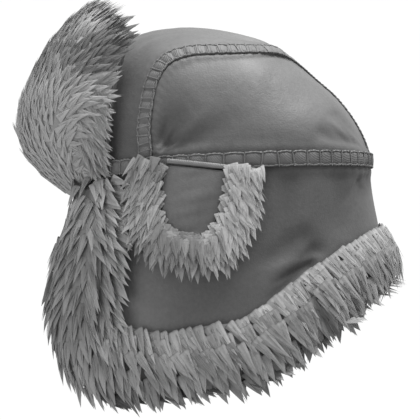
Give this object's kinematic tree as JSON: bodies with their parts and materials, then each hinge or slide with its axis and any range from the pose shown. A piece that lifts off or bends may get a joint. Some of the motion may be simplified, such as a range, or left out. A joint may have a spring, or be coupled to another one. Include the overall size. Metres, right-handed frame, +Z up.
{
  "type": "fur-trimmed ushanka hat",
  "caption": "Soft grey winter hat with a stitched panelled crown, a raised fur front flap, ear flaps and neck edged with fur, and fur-ringed ear patches.",
  "frame": {"origin": "middle of the head opening, level with the seam between crown and skirt", "axes": "+Z up as worn, the brow and front flap face -Y, the left ear flap is on +X"},
  "size_m": [0.2206, 0.2993, 0.2781],
  "materials": {
    "crown_cloth": "satin smooth coated cloth, mid grey",
    "skirt_cloth": "satin smooth coated cloth, dark grey",
    "seam_tape": "matte tape with ladder stitching",
    "binding": "smooth folded binding",
    "fur": "deep fur in pointed locks"
  },
  "bodies": {
    "root": {"crown_centre_panel": "crown_cloth", "crown_side_panel_left": "crown_cloth", "crown_side_panel_right": "crown_cloth", "crown_seam_tape_left": "seam_tape", "crown_seam_tape_right": "seam_tape", "band_seam_tape": "seam_tape", "skirt_panel": "skirt_cloth", "brow_panel": "skirt_cloth", "front_flap_backing": "crown_cloth", "front_flap_fur": "fur", "skirt_fur_trim": "fur", "ear_patch_left": "skirt_cloth", "ear_patch_right": "skirt_cloth", "ear_patch_fur_left": "fur", "ear_patch_fur_right": "fur", "ear_patch_binding_left": "binding", "ear_patch_binding_right": "binding"}
  },
  "joints": []
}
